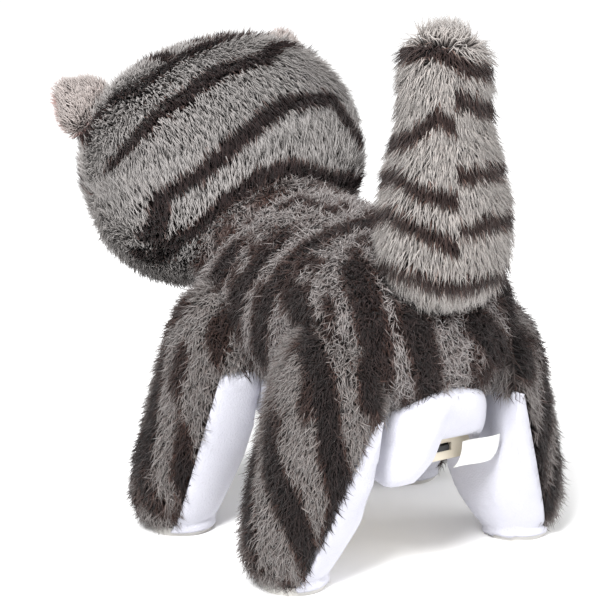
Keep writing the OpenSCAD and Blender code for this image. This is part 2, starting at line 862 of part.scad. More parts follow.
module lever(side, y, foot_x, driven) {
    color("white") side_of(side) difference() {
        union() {
            x_cylinder(lever_x0, lever_x1, y, hip_z, hub_r);
            lever_arm(y, hip_z, 11, -90, 8);
            lever_arm(y, hip_z, tie_arm, 90, 6);
            x_cylinder(lever_x0, stud_x1, y, hip_z + tie_arm, 1.5);
            if (driven) lever_arm(y, hip_z, slot_dist + crank_throw, slot_dir, 7.4);
            difference() {
                strut(y, foot_x);
                box([-far, -far, hip_z - 11], [far, far, far]);
            }
        }
        x_cylinder(-far, far, y, hip_z, stud_r + run_gap);
        box([-far, -far, -far], [far, far, sole_t]);
        if (driven) translate([lever_x0 - 1, y, hip_z]) rotate([90, 0, 90]) rotate([0, 0, slot_dir])
            for (t = [-1, 1]) {
                translate([slot_dist + t * crank_throw, 0, 0]) cylinder(r = crank_pin_r + 0.3, h = 10);
                translate([slot_dist - crank_throw, -crank_pin_r - 0.3, 0])
                    cube([2 * crank_throw, 2 * crank_pin_r + 0.6, 10]);
            }
    }
}

// Whole plush leg outside the mechanism bay, with room for its strut
module leg_form(y, hip_x, hip_r, foot_x) {
    difference() {
        leg_capsule([hip_x, y, hip_z], [foot_x, y, foot_z], hip_r, foot_r);
        box([-far, -far, -far], [leg_in_x, far, far]);
        box([-far, -far, -far], [far, far, sole_t]);
        strut(y, foot_x);
    }
}

// Half space on the inner side of a leg's middle plane, below the belly
module inner_side(y, hip_x, foot_x) {
    lean = atan2(foot_x - hip_x, hip_z - foot_z);
    intersection() {
        translate([foot_x, y, foot_z]) rotate([0, -lean, 0])
            translate([-far, -far / 2, -far / 2]) cube(far);
        box([-far, -far, -far], [far, far, panel_z1]);
    }
}

module leg_cover(side, y, hip_x, hip_r, foot_x) {
    color("#6b605b") side_of(side) difference() {
        leg_form(y, hip_x, hip_r, foot_x);
        inner_side(y, hip_x, foot_x);
    }
}

module leg_lining(side, y, hip_x, hip_r, foot_x) {
    color("whitesmoke") side_of(side) intersection() {
        leg_form(y, hip_x, hip_r, foot_x);
        inner_side(y, hip_x, foot_x);
    }
}

module sole(side, y, foot_x) {
    color("#3a3a3c") side_of(side) translate([foot_x, y, 0]) cylinder(r = 11, h = sole_t);
}

// Rod that makes the front lever copy the rear one
module tie_rod(side) {
    z = hip_z + tie_arm;
    color("white") side_of(side) difference() {
        union() {
            box([rod_x0, front_hip_y, z - 2], [rod_x1, rear_hip_y, z + 2]);
            for (y = [front_hip_y, rear_hip_y]) x_cylinder(rod_x0, rod_x1, y, z, 3);
        }
        x_cylinder(-far, far, rear_hip_y, z, 1.5 + run_gap);
        x_cylinder(-far, far, front_hip_y, z, 1.5 + 0.3);
    }
}

body_cover();
body_wadding();
belly_panel();
care_label();
head_cover();
head_wadding();
neck_cover();
head_shell();
muzzle();
nose();
eyes();
ear(1);  // left_ear
ear(-1);  // right_ear
tail_cover();
tail_wadding();
tail_rod();
tail_bracket();
chassis_base();
chassis_lid();
chassis_screws();
neck_post();
neck_swivel();
battery_box();
battery_door();
door_screw();
battery_cells();
battery_contacts();
switch_body();
switch_knob();
motor();
motor_pinion();
first_gear();
second_gear();
gear_axles();
crank_shaft();
crank_gear();
crank_discs();
circuit_board();
speaker();
lever_retainers();
lever(1, front_hip_y, front_foot_x, false);  // front_left_lever
lever(-1, front_hip_y, front_foot_x, false);  // front_right_lever
lever(1, rear_hip_y, rear_foot_x, true);  // rear_left_lever
lever(-1, rear_hip_y, rear_foot_x, true);  // rear_right_lever
leg_cover(1, front_hip_y, front_hip_x, front_hip_r, front_foot_x);  // front_left_cover
leg_cover(-1, front_hip_y, front_hip_x, front_hip_r, front_foot_x);  // front_right_cover
leg_cover(1, rear_hip_y, rear_hip_x, rear_hip_r, rear_foot_x);  // rear_left_cover
leg_cover(-1, rear_hip_y, rear_hip_x, rear_hip_r, rear_foot_x);  // rear_right_cover
leg_lining(1, front_hip_y, front_hip_x, front_hip_r, front_foot_x);  // front_left_lining
leg_lining(-1, front_hip_y, front_hip_x, front_hip_r, front_foot_x);  // front_right_lining
leg_lining(1, rear_hip_y, rear_hip_x, rear_hip_r, rear_foot_x);  // rear_left_lining
leg_lining(-1, rear_hip_y, rear_hip_x, rear_hip_r, rear_foot_x);  // rear_right_lining
sole(1, front_hip_y, front_foot_x);  // front_left_sole
sole(-1, front_hip_y, front_foot_x);  // front_right_sole
sole(1, rear_hip_y, rear_foot_x);  // rear_left_sole
sole(-1, rear_hip_y, rear_foot_x);  // rear_right_sole
tie_rod(1);  // left_tie_rod
tie_rod(-1);  // right_tie_rod
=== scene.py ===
import math

import bpy
import numpy as np
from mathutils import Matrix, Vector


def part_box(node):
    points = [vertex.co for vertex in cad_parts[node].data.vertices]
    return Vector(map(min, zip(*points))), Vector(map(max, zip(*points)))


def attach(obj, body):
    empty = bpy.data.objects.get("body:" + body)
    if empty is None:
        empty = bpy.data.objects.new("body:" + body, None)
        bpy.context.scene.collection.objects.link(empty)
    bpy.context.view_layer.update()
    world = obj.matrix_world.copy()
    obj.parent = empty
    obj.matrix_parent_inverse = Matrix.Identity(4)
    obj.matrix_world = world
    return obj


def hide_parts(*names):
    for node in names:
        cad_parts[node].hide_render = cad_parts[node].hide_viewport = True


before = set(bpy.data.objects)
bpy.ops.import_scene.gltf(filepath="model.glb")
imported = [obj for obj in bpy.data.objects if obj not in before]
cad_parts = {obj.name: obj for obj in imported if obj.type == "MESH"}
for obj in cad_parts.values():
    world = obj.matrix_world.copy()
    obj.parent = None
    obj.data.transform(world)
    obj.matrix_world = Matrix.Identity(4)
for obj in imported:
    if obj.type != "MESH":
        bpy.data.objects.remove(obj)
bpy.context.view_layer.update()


# ---- Drive housing ----
# The chassis halves, neck post, swivel, head shell, tail rod and its bracket are white
# injection mouldings, screwed together inside the wadding.
class Wire:
    """A shader socket with Python's operators: each one adds a Math node and gives its output."""

    def __init__(self, tree, socket=None):
        self.tree, self.socket = tree, socket

    def node(self, kind, values=None, out=0, **settings):
        """Adds a node of one type: its settings first, then its sockets' values or links."""
        made = self.tree.nodes.new(kind)
        for key, value in settings.items():
            setattr(made, key, value)
        for key, value in (values or {}).items():
            if isinstance(value, Wire):
                self.tree.links.new(value.socket, made.inputs[key])
            else:
                made.inputs[key].default_value = value
        return Wire(self.tree, made.outputs[out] if len(made.outputs) else None)

    def maths(self, operation, first, second):
        return self.node("ShaderNodeMath", {0: first, 1: second}, operation=operation)

    def __add__(self, other):
        return self.maths("ADD", self, other)

    def __sub__(self, other):
        return self.maths("SUBTRACT", self, other)

    def __rsub__(self, other):
        return self.maths("SUBTRACT", other, self)

    def __mul__(self, other):
        return self.maths("MULTIPLY", self, other)

    __radd__, __rmul__ = __add__, __mul__


def paint(red, green, blue):
    """A colour as a designer writes it, 0 to 255 a channel, in the linear light a shader wants."""
    share = (np.array([red, green, blue]) / 255 + 0.055) / 1.055
    return (*(share ** 2.4), 1.0)


def mixed(mask, first, second):
    """The first colour where the mask is 0 and the second where it is 1."""
    return mask.node("ShaderNodeMix", {0: mask, 6: first, 7: second}, out=2, data_type="RGBA")


def new_finish(name):
    """An empty material, the wire that starts its nodes, and the place on the piece."""
    made = bpy.data.materials.new(name)
    made.use_nodes = True
    made.node_tree.nodes.clear()
    start = Wire(made.node_tree)
    return made, start, start.node("ShaderNodeTexCoord", out="Object")


def speckle(place, scale, detail=2.0):
    """Soft noise, 0 to 1, with this many cells to the metre."""
    return place.node("ShaderNodeTexNoise", {"Vector": place, "Scale": scale, "Detail": detail})


def grain(height, strength, distance):
    """A bump from a height, in metres of depth."""
    return height.node("ShaderNodeBump",
                       {"Height": height, "Strength": strength, "Distance": distance})


def shaded(start, sockets):
    """Ends a material with the main shader and these of its sockets."""
    surface = start.node("ShaderNodeBsdfPrincipled", sockets)
    start.node("ShaderNodeOutputMaterial", {"Surface": surface})


def moulding(name, colour, dull, rough, pitch=900.0, depth=0.00004, metal=0.0, coat=0.0):
    """Moulded or plated surface: the colour drifts to its dull shade in faint flow marks, and
    a fine grain roughens it."""
    made, start, place = new_finish(name)
    flow, fine = speckle(place, pitch / 20), speckle(place, pitch)
    shaded(start, {"Base Color": mixed(flow, colour, dull), "Metallic": metal, "Coat Weight": coat,
                   "Roughness": rough + (fine - 0.5) * 0.16, "Normal": grain(fine, 0.4, depth)})
    return made


def dress(material, *nodes):
    """Gives CAD nodes a finish; their shape and place stay as packed."""
    for node in nodes:
        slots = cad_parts[node].data.materials
        slots.clear()
        slots.append(material)


dress(moulding("white_moulding", paint(232, 232, 228), paint(218, 218, 212), 0.42),
      "chassis_base", "chassis_lid", "neck_post", "neck_swivel", "head_shell", "tail_rod",
      "tail_bracket")

# ---- Motor and gear train ----
# A small can motor with a brass pinion drives two compound nylon gears and the crank gear,
# which turn on steel pins held in the chassis halves.
dress(moulding("gear_nylon", paint(236, 233, 220), paint(222, 218, 200), 0.35),
      "first_gear", "second_gear", "crank_gear", "crank_discs")
dress(moulding("plated_steel", paint(196, 196, 200), paint(170, 170, 175), 0.28, 2600, metal=1.0),
      "chassis_screws", "door_screw", "gear_axles", "crank_shaft", "lever_retainers", "motor",
      "battery_contacts")
dress(moulding("turned_brass", paint(214, 178, 96), paint(190, 150, 70), 0.3, 3000, metal=1.0),
      "motor_pinion")

# ---- Circuit board and speaker ----
# A bare green fibreglass board carries the sound chip; the little speaker is a black frame
# and cone glued into the floor of the chassis.
dress(moulding("board_green", paint(40, 104, 62), paint(30, 84, 50), 0.4, 1800, coat=0.3),
      "circuit_board")
dress(moulding("black_moulding", paint(34, 34, 36), paint(24, 24, 26), 0.38),
      "speaker", "switch_body", "switch_knob")

# ---- Levers and tie rods ----
# Each leg is a white moulded lever inside its padding. The rear pair rocks on the crank
# discs and a flat rod on each side passes the swing on to the front pair.
dress(moulding("lever_white", paint(234, 234, 231), paint(220, 220, 215), 0.45),
      "front_left_lever", "front_right_lever", "rear_left_lever", "rear_right_lever",
      "left_tie_rod", "right_tie_rod")

# ---- Foot soles ----
# A thin disc of soft rubber is glued under each foot so that the cat grips while it walks.
dress(moulding("sole_rubber", paint(206, 204, 200), paint(186, 183, 178), 0.75, 1500, 0.0001),
      "front_left_sole", "front_right_sole", "rear_left_sole", "rear_right_sole")

# ---- Battery box ----
# A cream box hangs through the belly, with its door on a screw, two cells with sleeves
# and a small black slide switch in the rear wall.
dress(moulding("cream_moulding", paint(232, 224, 206), paint(216, 205, 184), 0.4, 700),
      "battery_box", "battery_door")
dress(moulding("cell_sleeve", paint(52, 66, 74), paint(40, 50, 58), 0.25, coat=0.5),
      "battery_cells")


# ---- Trunk ----
# The body is a bag of shaggy grey-brown pile stuffed with fibre round the chassis. Dark
# bands run over the back; the bag is dished where the legs, the head and the tail turn.
def ball_grid(rows, columns, pole):
    """Unit vectors over a ball, in rings from one pole of an axis (0 x, 1 y, 2 z) to the
    other, and its triangles and quads, facing out."""
    polar = np.linspace(0, math.pi, rows + 2)[1:-1, None]
    turn = np.linspace(0, 2 * math.pi, columns, endpoint=False)[None, :]
    ring = np.stack([np.sin(polar) * np.cos(turn), np.sin(polar) * np.sin(turn),
                     np.cos(polar) + 0 * turn], -1).reshape(-1, 3)
    unit = np.roll(np.vstack([[0, 0, 1], ring, [0, 0, -1]]), pole - 2, axis=1)
    row, column = np.mgrid[0:rows, 0:columns]
    here, side = 1 + row * columns + column, 1 + row * columns + (column + 1) % columns
    quads = np.stack([here[:-1], here[1:], side[1:], side[:-1]], -1).reshape(-1, 4)
    caps = np.vstack([np.stack([0 * here[0], here[0], side[0]], -1),
                      np.stack([here[-1], 0 * here[0] + rows * columns + 1, side[-1]], -1)])
    return unit, caps, quads


def put_mesh(name, points, *faces):
    """A smooth mesh object from an array of points and one array of faces for each number of
    corners."""
    mesh = bpy.data.meshes.new(name)
    corners = np.concatenate([f.ravel() for f in faces]).astype(np.int32)
    sizes = np.concatenate([np.full(len(f), f.shape[1]) for f in faces])
    mesh.vertices.add(len(points))
    mesh.vertices.foreach_set("co", np.asarray(points, np.float32).ravel())
    mesh.loops.add(len(corners))
    mesh.loops.foreach_set("vertex_index", corners)
    mesh.polygons.add(len(sizes))
    mesh.polygons.foreach_set("loop_start", (np.cumsum(sizes) - sizes).astype(np.int32))
    mesh.polygons.foreach_set("use_smooth", np.ones(len(sizes), bool))
    mesh.update(calc_edges=True)
    made = bpy.data.objects.new(name, mesh)
    bpy.context.scene.collection.objects.link(made)
    return made


def bag(unit, centres, radii, soft):
    """A bag pulled over balls: for each direction the furthest point of every ball, averaged
    with weights that grow as the exponential of how far it reaches over the softness."""
    centres, radii = np.asarray(centres, float), np.asarray(radii, float)
    reach = unit @ centres.T + radii
    weight = np.exp((reach - reach.max(1, keepdims=True)) / soft)
    weight /= weight.sum(1, keepdims=True)
    return weight @ centres + (weight @ radii)[:, None] * unit


def co_of(piece):
    """A piece's points as an array."""
    out = np.empty(len(piece.data.vertices) * 3, np.float32)
    piece.data.vertices.foreach_get("co", out)
    return out.reshape(-1, 3).astype(float)


def apply_all(piece):
    """Works the live modifiers into the mesh."""
    solid = bpy.data.meshes.new_from_object(
        piece.evaluated_get(bpy.context.evaluated_depsgraph_get()))
    piece.modifiers.clear()
    piece.data = solid


def stuff(piece, cap, voxel=0.005):
    """Stuffing: the bag is remeshed to even cells and swells as cloth under pressure for
    twenty frames, no point further than the cap; one subdivision then smooths it."""
    even = piece.modifiers.new("even", "REMESH")
    even.mode, even.voxel_size = "VOXEL", voxel
    apply_all(piece)
    before = co_of(piece)
    cloth = piece.modifiers.new("cloth", "CLOTH")
    cloth.settings.quality = 4
    cloth.settings.use_pressure = True
    cloth.settings.uniform_pressure_force = 4
    cloth.settings.effector_weights.gravity = 0
    for moment in range(1, 21):
        bpy.context.scene.frame_set(moment)
    apply_all(piece)
    move = co_of(piece) - before
    far = np.linalg.norm(move, axis=1, keepdims=True)
    after = before + move * np.minimum(1, cap / np.maximum(far, 1e-9))
    piece.data.vertices.foreach_set("co", after.astype(np.float32).ravel())
    bpy.context.scene.frame_set(1)
    smooth = piece.modifiers.new("smooth", "SUBSURF")
    smooth.levels = smooth.render_levels = 1
    apply_all(piece)
    piece.data.polygons.foreach_set("use_smooth", np.ones(len(piece.data.polygons), bool))
    return piece


def reshape(piece, change):
    """Moves a mesh's points by a function of all of them."""
    piece.data.vertices.foreach_set("co", change(co_of(piece)).astype(np.float32).ravel())
    piece.data.update()


def clear_of(points, centre, radius):
    """Points inside a ball go straight out to its surface."""
    arm = points - centre
    far = np.linalg.norm(arm, axis=1, keepdims=True)
    return centre + arm * np.maximum(1, radius / np.maximum(far, 1e-9))


def mirrored(line):
    """A line of points on the cat's other side."""
    return [(-x, y, z) for x, y, z in line]


def near_lines(points, lines, half, edge=0.35):
    """How far into a stripe each point is: 1 on a line's middle, 0 past its half width, by
    the distance to the nearest straight stretch, with a soft edge."""
    best = np.full(len(points), 1.0)
    for line in lines:
        line = np.asarray(line, float) / 1000
        for start, end in zip(line[:-1], line[1:]):
            run = end - start
            share = np.clip((points - start) @ run / (run @ run), 0, 1)[:, None]
            best = np.minimum(best, np.linalg.norm(points - start - share * run, axis=1))
    depth = np.clip((half * (1 + edge) - best) / (2 * edge * half), 0, 1)
    return depth * depth * (3 - 2 * depth)


def ripple(points, pitch, seed):
    """Smooth waves of height -1 to 1: the mean of seven sines that run in seeded directions,
    and its slope as a vector."""
    rng = np.random.default_rng(seed)
    runs = rng.normal(size=(7, 3))
    runs *= (2 * math.pi / pitch) / np.linalg.norm(runs, axis=1, keepdims=True)
    runs *= rng.uniform(0.6, 1.5, (7, 1))
    phase = points @ runs.T + rng.uniform(0, 2 * math.pi, 7)
    return np.sin(phase).mean(1), np.cos(phase) @ runs * pitch / (2 * math.pi * 7)


def unit_rows(vectors):
    """Each vector divided by its length."""
    return vectors / np.maximum(np.linalg.norm(vectors, axis=1, keepdims=True), 1e-9)


def pile(name, skin, count, seed, length, comb, dark, keep=None, width=0.0005,
         lean=(25, 68), stray=0.25, tuft=0.5, tuft_pitch=0.006, kink=0.08):
    """Fur: strands stand on the skin, spread by area. Each is a closed three-sided spike with
    a bend halfway, which leans from the first angle to the second along the combing
    direction, strays and kinks a little and draws towards its tuft. The mesh keeps three
    numbers on every point: dark (stripe), along (0 root to 1 tip) and lot (a chance number
    for each strand)."""
    rng = np.random.default_rng(seed)
    points, mesh = co_of(skin), skin.data
    mesh.calc_loop_triangles()
    tris = np.empty(len(mesh.loop_triangles) * 3, np.int32)
    mesh.loop_triangles.foreach_get("vertices", tris)
    tris = tris.reshape(-1, 3)
    first, second, third = points[tris[:, 0]], points[tris[:, 1]], points[tris[:, 2]]
    across = np.cross(second - first, third - first)
    bent = np.zeros_like(points)
    for corner in range(3):
        np.add.at(bent, tris[:, corner], across)
    bent = unit_rows(bent)
    share = np.linalg.norm(across, axis=1)
    if keep is not None:
        share = share * keep((first + second + third) / 3)
    pick = rng.choice(len(tris), count, p=share / share.sum())
    u, v = rng.random((2, count, 1))
    u, v = np.where(u + v > 1, 1 - u, u), np.where(u + v > 1, 1 - v, v)
    root = first[pick] + u * (second - first)[pick] + v * (third - first)[pick]
    up = unit_rows((1 - u - v) * bent[tris[pick, 0]] + u * bent[tris[pick, 1]]
                   + v * bent[tris[pick, 2]])
    lay = comb(root, up) + stray * rng.normal(size=(count, 3))
    lay = unit_rows(lay - (lay * up).sum(1, keepdims=True) * up)
    wave, slope = ripple(root, tuft_pitch, seed + 1)
    reach = (length * rng.uniform(0.65, 1.1, count) * (1 + 0.18 * wave))[:, None]
    near, far = (np.radians(angle + rng.normal(0, 7, (count, 1))) for angle in lean)
    rise = np.cos(near) * up + np.sin(near) * lay
    fall = unit_rows(np.cos(far) * up + np.sin(far) * lay + tuft * slope
                     + kink * rng.normal(size=(count, 3)))
    middle = root + 0.5 * reach * rise
    tip = middle + 0.5 * reach * fall
    for spot in (middle, tip):
        spot[:, 2] = np.maximum(spot[:, 2], 0.0006)
    side = unit_rows(np.cross(rise, up) + 1e-6)
    broad = width * rng.uniform(0.7, 1.3, (count, 1))
    foot = root - 0.0006 * up
    rings = [place + share * broad * (a * side + b * unit_rows(np.cross(side, rise)))
             for place, share in ((foot, 0.5), (middle, 0.42))
             for a, b in ((-1, 0.0), (1, 0.0), (0, -1.1))]
    body = np.stack(rings + [tip], 1).reshape(-1, 3)
    base = np.arange(count)[:, None] * 7
    around = ((0, 1), (1, 2), (2, 0))
    quads = np.concatenate([base + [a, b, b + 3, a + 3] for a, b in around])
    ends = np.concatenate([base + [a + 3, b + 3, 6] for a, b in around] + [base + [2, 1, 0]])
    made = put_mesh(name, body, quads, ends)
    tone = dark(0.45 * middle + 0.55 * tip)
    for key, value in (("dark", np.repeat(tone, 7)), ("lot", np.repeat(rng.random(count), 7)),
                       ("along", np.tile([0, 0, 0, 0.5, 0.5, 0.5, 1.0], count))):
        made.data.attributes.new(key, "FLOAT", "POINT").data.foreach_set(
            "value", value.astype(np.float32))
    lots = math.ceil(math.sqrt(count))
    spot = np.array([(0.15, 0.1), (0.85, 0.1), (0.5, 0.02), (0.15, 0.5), (0.85, 0.5),
                     (0.5, 0.45), (0.5, 0.95)])
    cell = np.stack([np.arange(count) % lots, np.arange(count) // lots], -1)[:, None, :]
    flat = ((cell + spot) / lots).reshape(-1, 2)
    corner = np.empty(len(made.data.loops), np.int32)
    made.data.loops.foreach_get("vertex_index", corner)
    chart = made.data.uv_layers.new(name="OFBake")
    chart.data.foreach_set("uv", flat[corner].astype(np.float32).ravel())
    return made


def stain(piece, dark, along=0.25):
    """Gives a skin the same numbers as the fur on it, so one finish suits both."""
    points = co_of(piece)
    for key, value in (("dark", dark(points)), ("lot", np.full(len(points), 0.4)),
                       ("along", np.full(len(points), along))):
        piece.data.attributes.new(key, "FLOAT", "POINT").data.foreach_set(
            "value", value.astype(np.float32))


def fur_finish(name, root, middle, tip, stripe_root, stripe_tip, fringe, dye, patch=60.0):
    """Dyed pile: root, middle and frosted tip shades run along each strand, a stripe swaps
    them for its own two shades through a warm fringe, and strands and patches differ a
    little. Dye is the share of light that the whole pile keeps."""
    made, start, place = new_finish(name)
    dark, along, lot = (start.node("ShaderNodeAttribute", out="Fac", attribute_name=key)
                        for key in ("dark", "along", "lot"))
    blotch = speckle(place, patch)
    lower = along.node("ShaderNodeMapRange", {"Value": along, "From Min": 0.0, "From Max": 0.55})
    upper = along.node("ShaderNodeMapRange", {"Value": along, "From Min": 0.5, "From Max": 1.0})
    plain = mixed(upper * (lot * 0.7 + 0.3), mixed(lower, root, middle), tip)
    banded = mixed(along * lot, stripe_root, stripe_tip)
    ragged = dark + (lot - 0.5) * 0.34 + (blotch - 0.5) * 0.3
    edge = ragged.node("ShaderNodeMapRange", {"Value": ragged, "From Min": 0.12, "From Max": 0.42})
    core = ragged.node("ShaderNodeMapRange", {"Value": ragged, "From Min": 0.4, "From Max": 0.72})
    colour = mixed(core, mixed(edge, plain, fringe), banded)
    shade = (lot * 0.5 + blotch * 0.7) * 0.5
    colour = colour.node("ShaderNodeHueSaturation",
                         {"Color": colour, "Value": shade * (0.7 * dye) + 0.8 * dye})
    shaded(start, {"Base Color": colour, "Roughness": 0.62 + lot * 0.2, "Sheen Weight": 0.08,
                   "Sheen Roughness": 0.5, "Specular IOR Level": 0.25})
    return made


def soft_piece(piece, finish, body, slot, *nodes, fill=None):
    """Puts a finish on a new piece, hangs it on its body and hides the CAD nodes it covers."""
    piece.data.materials.clear()
    piece.data.materials.append(finish)
    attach(piece, body)
    if nodes:
        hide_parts(*nodes)
    return piece


neck_place = np.array([0, -0.059, 0.122])
tail_place = np.array([0, 0.085, 0.1195])
hips = {"front": np.array([0.032, -0.007, 0.067]), "rear": np.array([0.028, 0.065, 0.067])}
hip_reach = {"front": 0.0200, "rear": 0.0245}
leg_plane = 0.0288
belly_level = 0.0577
rump_half = 0.0265


def trunk_fit(points):
    """Dishes the trunk for the head's ball, the tail's ball and the leg tops, and flattens it
    on the belly panel."""
    points = clear_of(points, neck_place, 0.0545)
    points = clear_of(points, tail_place, 0.0245)
    for name, hip in hips.items():
        out = np.hypot(points[:, 1] - hip[1], points[:, 2] - hip[2]) - hip_reach[name] - 0.001
        most = leg_plane - 0.0006 + np.clip(out / 0.002, 0, 1) * 0.03
        points[:, 0] = np.sign(points[:, 0]) * np.minimum(np.abs(points[:, 0]), most)
    points[:, 2] = np.maximum(points[:, 2], 0.0576)
    return points


trunk_bands = [
    [(39, 50, 98), (46, 70, 87), (48, 83, 75), (46, 86, 51), (41, 86, 36)],
    [(26, 69, 112), (29, 81, 103), (31, 88, 91), (33, 92, 70)],
    [(15, 92, 100), (15, 95, 89), (8, 92, 64)],
    [(-10, 94, 91), (-26, 92, 72), (-30, 92, 61)],
    [(2, 44, 116), (22, 40, 110), (38, 34, 92), (42, 30, 70)],
    [(0, 26, 114), (22, 22, 108), (38, 14, 92), (42, 10, 74)],
    [(0, 8, 112), (20, 4, 108), (36, -4, 94), (40, -8, 74)],
]
trunk_bands += [mirrored(trunk_bands[k]) for k in (0, 1, 4, 5, 6)]


def streaks(points, seed):
    """Faint streaks that run down the sides: waves squeezed to a third of their rate in
    height, of which only the crests show."""
    wave = ripple(points * [1, 1, 0.3], 0.012, seed)[0]
    return np.clip((wave - 0.08) * 2.6, 0, 0.62)


def trunk_dark(points):
    """How dark the trunk's pile is: bands and streaks, less a painted highlight,
    a light line over the withers.
    """
    slope = ripple(points, 0.02, 11)[1]
    warped = points + 0.0022 * slope
    strength = near_lines(warped, trunk_bands, 0.0055, 0.45)
    # A light line over the withers is a painted highlight: it takes away half the darkness.
    painted_highlight = near_lines(warped, [[(35, 9, 101), (27, 0, 108), (22, 4, 113), (0, 0, 114)]], 0.004)
    return np.clip(np.maximum(strength, streaks(points, 13)) - 0.5 * painted_highlight, 0, 1)


def trunk_comb(points, up):
    """Pile is brushed back along the spine, and down and out at the sides, with slow swirls."""
    slope = ripple(points, 0.045, 12)[1]
    side = np.clip(np.abs(points[:, :1]) / 0.035, 0, 1) * np.sign(points[:, :1])
    return np.hstack([0.35 * side, 0 * side + 0.55, -0.35 - 0.65 * np.abs(side)]) + 0.35 * slope


trunk_finish = fur_finish("trunk_pile", paint(74, 60, 57), paint(150, 139, 136),
                          paint(244, 241, 240),
                          paint(26, 16, 16), paint(78, 62, 60), paint(88, 62, 54), 0.62)
unit, caps, quads = ball_grid(60, 80, 1)
trunk = put_mesh("trunk_cover", bag(unit, np.array([(9, 61, 84), (-9, 61, 84), (9, -5, 80),
                 (-9, -5, 80), (0, -9, 91)]) / 1000,
                 np.array([29.5, 29.5, 26, 26, 27]) / 1000, 0.003), caps, quads)
reshape(stuff(trunk, 0.003), trunk_fit)
stain(trunk, trunk_dark)
soft_piece(trunk, trunk_finish, "chassis", "striped_fur", "body_cover", "body_wadding", fill=0.7)


def trunk_keep(points):
    """Fur grows on the trunk but not in the dishes, on the flat belly or on the white rump."""
    grown = np.linalg.norm(points - neck_place, axis=1) > 0.0575
    grown &= np.linalg.norm(points - tail_place, axis=1) > 0.0255
    for name, hip in hips.items():
        out = np.hypot(points[:, 1] - hip[1], points[:, 2] - hip[2])
        grown &= ~((out < hip_reach[name]) & (np.abs(points[:, 0]) > leg_plane - 0.002))
    arch = belly_level + 0.0095 * (1 - (points[:, 0] / rump_half) ** 2)
    rump = (points[:, 1] > 0.06) & (points[:, 2] < arch)
    return grown & (points[:, 2] > 0.0585) & ~rump


for name, seed, side in (("trunk_pile_left", 21, 1), ("trunk_pile_right", 22, -1)):
    fur = pile(name, trunk, 17500, seed, 0.0078, trunk_comb, trunk_dark,
               keep=lambda p: trunk_keep(p) & (p[:, 0] * side >= 0), width=0.00046,
               stray=0.45, tuft=0.9, tuft_pitch=0.0045, kink=0.3)
    soft_piece(fur, trunk_finish, "chassis", "striped_fur")


# ---- Belly panel ----
# Smooth white plush closes the belly round the battery box and runs up the rump to a
# seam under the tail. It is lightly padded and sewn to the trunk along its edge.
def plush_finish(name, colour, shade):
    """Short white plush: a fine nap of tiny tufts under a soft sheen, with faint brushed
    patches in its bump; the white darkens to a painted shade in soft patches of noise."""
    made, start, place = new_finish(name)
    nap, brushed = speckle(place, 1500, 4.0), speckle(place, 90)
    # The same noise mixes the colour: where it is low, the white turns to its painted shade.
    shaded(start, {"Base Color": mixed(brushed * 0.6 + nap * 0.4, shade, colour),
                   "Roughness": 0.85 + (nap - 0.5) * 0.2, "Sheen Weight": 0.12,
                   "Sheen Roughness": 0.4, "Normal": grain(nap + brushed * 0.6, 0.7, 0.0004)})
    return made


def ring_pad(name, inner, outer, rows):
    """A padded ring between two closed edge curves: round its section the surface goes out
    over a crowned upper side and back over a flatter lower side. Crown and floor are arrays
    of vectors, one for each point of the curves."""
    (edge_in, edge_out), (crown, floor) = inner, outer
    turn = np.linspace(0, 2 * math.pi, rows, endpoint=False)[None, :, None]
    share, height = 0.5 - 0.5 * np.cos(turn), np.sin(turn)
    lift = (np.where(height > 0, height, 0) * crown[:, None]
            + np.where(height < 0, -height, 0) * floor[:, None])
    points = (edge_in[:, None] * (1 - share) + edge_out[:, None] * share + lift).reshape(-1, 3)
    count = len(edge_in)
    row, column = np.mgrid[0:count, 0:rows]
    here, on = row * rows + column, ((row + 1) % count) * rows + column
    above = (column + 1) % rows
    here_up, on_up = row * rows + above, ((row + 1) % count) * rows + above
    return put_mesh(name, points, np.stack([here, here_up, on_up, on], -1).reshape(-1, 4))


# The second colour is a painted shade of the white plush, not a second dye.
plush_white = plush_finish("white_plush", paint(202, 202, 210), paint(182, 182, 193))
box_lo, box_hi = (np.array(corner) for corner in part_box("battery_box"))
turn = np.linspace(0, 2 * math.pi, 120, endpoint=False)
middle = (box_lo + box_hi) / 2
half = (box_hi - box_lo) / 2 + 0.0006


def rounded_edge(half_x, half_y, power):
    """A rounded rectangle about the box's middle: its reach in a direction is the sum of the
    cosine and sine over the half sizes, each to a power, to the power's inverse."""
    cos, sin = np.cos(turn), np.sin(turn)
    reach = (np.abs(cos / half_x) ** power + np.abs(sin / half_y) ** power) ** (-1 / power)
    return middle[0] + reach * cos, middle[1] + reach * sin


hole_x, hole_y = rounded_edge(half[0], half[1], 24)
rim_x, rim_y = rounded_edge(0.0277, 0.05, 5)
rim_y = np.where(rim_y < middle[1], middle[1] + (rim_y - middle[1]) * 1.16, rim_y)
rear = np.clip((rim_y - 0.066) / 0.016, 0, 1)
rump_top = belly_level + 0.0115 * rear * np.clip(1 - (rim_x / rump_half) ** 2, 0, 1)
rump_middle, rump_radius = (0.009, 0.062, 0.084), 0.0320
rump_y = rump_middle[1] + np.sqrt(np.maximum(
    rump_radius ** 2 - (rump_top - rump_middle[2]) ** 2
    - np.maximum(np.abs(rim_x) - rump_middle[0], 0) ** 2, 0))
rim_y = np.where(rear > 0, rim_y + rear * (np.minimum(rim_y, rump_y) - rim_y), rim_y)
window = (np.clip((hole_x + 0.0205) / 0.003, 0, 1) * np.clip((0.0035 - hole_x) / 0.005, 0, 1)
          * (hole_y > 0.07))
swell = rear * np.clip(hole_x / 0.012, 0, 1)
hole_level, window_rise, lip_drop = 0.0398, 0.0072, 0.0030
hole_edge = np.stack([hole_x, hole_y, hole_level + window_rise * window - lip_drop * swell], -1)
